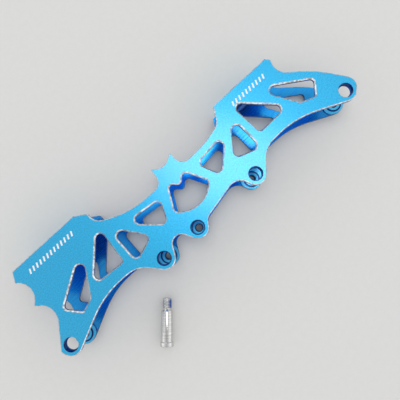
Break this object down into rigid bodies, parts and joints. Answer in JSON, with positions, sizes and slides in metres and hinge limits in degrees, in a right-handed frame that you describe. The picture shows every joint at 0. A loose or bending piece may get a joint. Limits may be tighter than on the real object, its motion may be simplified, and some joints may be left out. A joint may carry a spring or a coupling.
{
  "type": "inline skate frame",
  "caption": "Milled inline skate frame with parallel side walls, stepped boot decks, chamfered windows and axle holes, lying on its side beside a loose wheel axle.",
  "frame": {"origin": "on the rear axle hole's axis, at the outer face of the thread side wall, which lies on the floor", "axes": "+X from the rear axle to the front axle, +Y from the axle line towards the boot decks, +Z across the frame from the thread side wall to the head side wall"},
  "size_m": [0.2601, 0.11, 0.0336],
  "materials": {
    "blue_anodised_aluminium": "bead blasted, blue anodised",
    "plated_steel": "bright plated",
    "blue_nylon": "matte"
  },
  "bodies": {
    "frame": {"head_side_wall": "blue_anodised_aluminium", "thread_side_wall": "blue_anodised_aluminium", "rear_deck": "blue_anodised_aluminium", "front_deck": "blue_anodised_aluminium"},
    "loose_axle": {"wheel_axle": "plated_steel", "thread_lock_patch": "blue_nylon"}
  },
  "joints": [
    {"name": "axle_lift", "type": "slide", "parent": "frame", "child": "loose_axle", "axis": [0, 0, 1], "range_m": [0, 0.1]}
  ]
}
